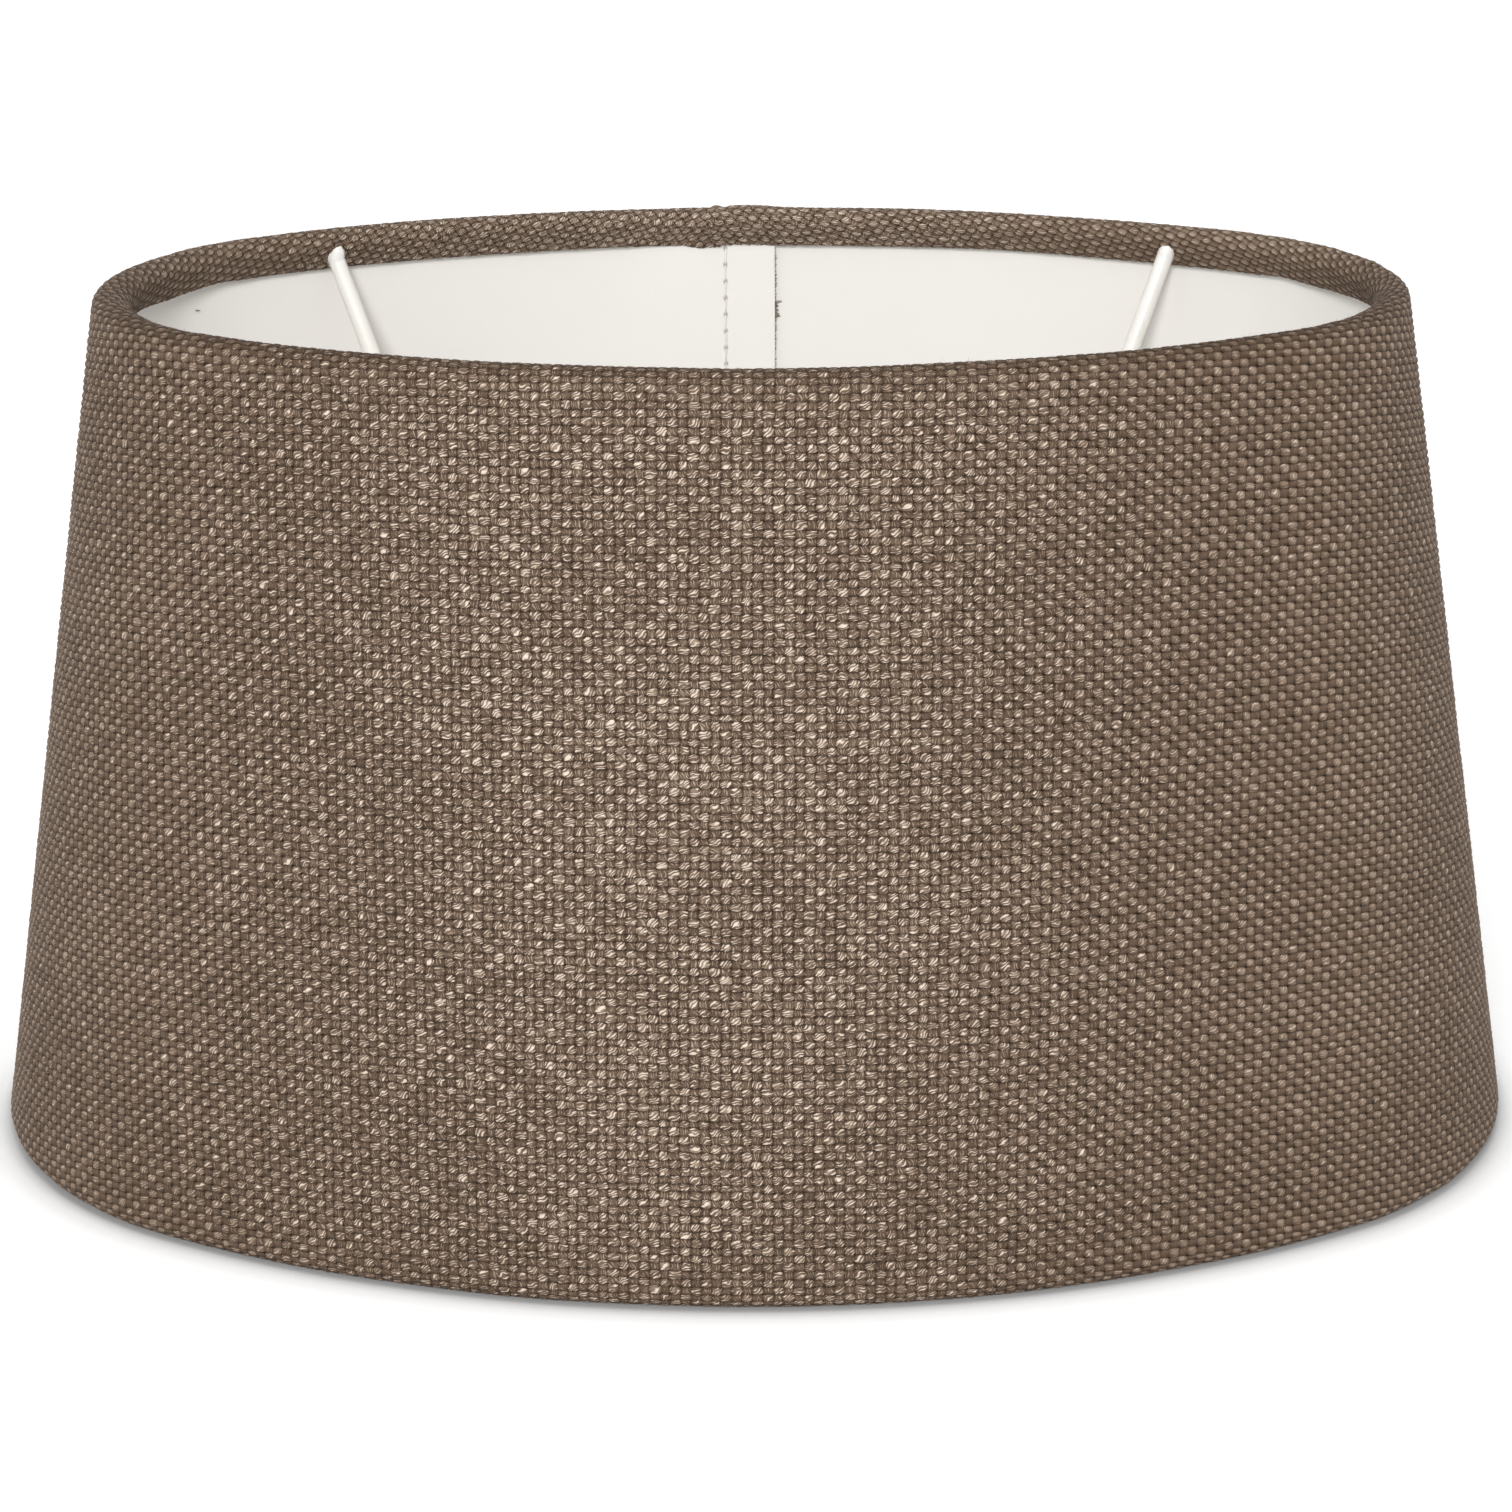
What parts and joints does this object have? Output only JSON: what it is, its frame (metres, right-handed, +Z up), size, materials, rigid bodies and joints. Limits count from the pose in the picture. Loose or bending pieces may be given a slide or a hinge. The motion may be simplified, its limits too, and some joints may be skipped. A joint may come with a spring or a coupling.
{
  "type": "lamp shade",
  "caption": "Oval tapered table lamp shade: coarse linen cloth rolled over wire rings, stiff white lining, wire arms to a lampholder ring.",
  "frame": {"origin": "centre of the bottom opening, on the plane that the bottom edge stands on", "axes": "+X along the oval's long axis, +Z up towards the smaller top opening, sewn seam at the back (+Y)"},
  "size_m": [0.3, 0.1924, 0.167],
  "materials": {
    "linen": "coarse plain-woven linen, taupe brown",
    "lining_sheet": "satin off-white",
    "painted_wire": "satin off-white paint",
    "needle_thread": "matte taupe thread",
    "bobbin_thread": "matte off-white thread"
  },
  "bodies": {
    "root": {"fabric_cover": "linen", "lining": "lining_sheet", "top_ring": "painted_wire", "bottom_ring": "painted_wire", "front_left_arm": "painted_wire", "front_right_arm": "painted_wire", "rear_left_arm": "painted_wire", "rear_right_arm": "painted_wire", "fitter_ring": "painted_wire", "seam_needle_thread": "needle_thread", "seam_bobbin_thread": "bobbin_thread"}
  },
  "joints": []
}
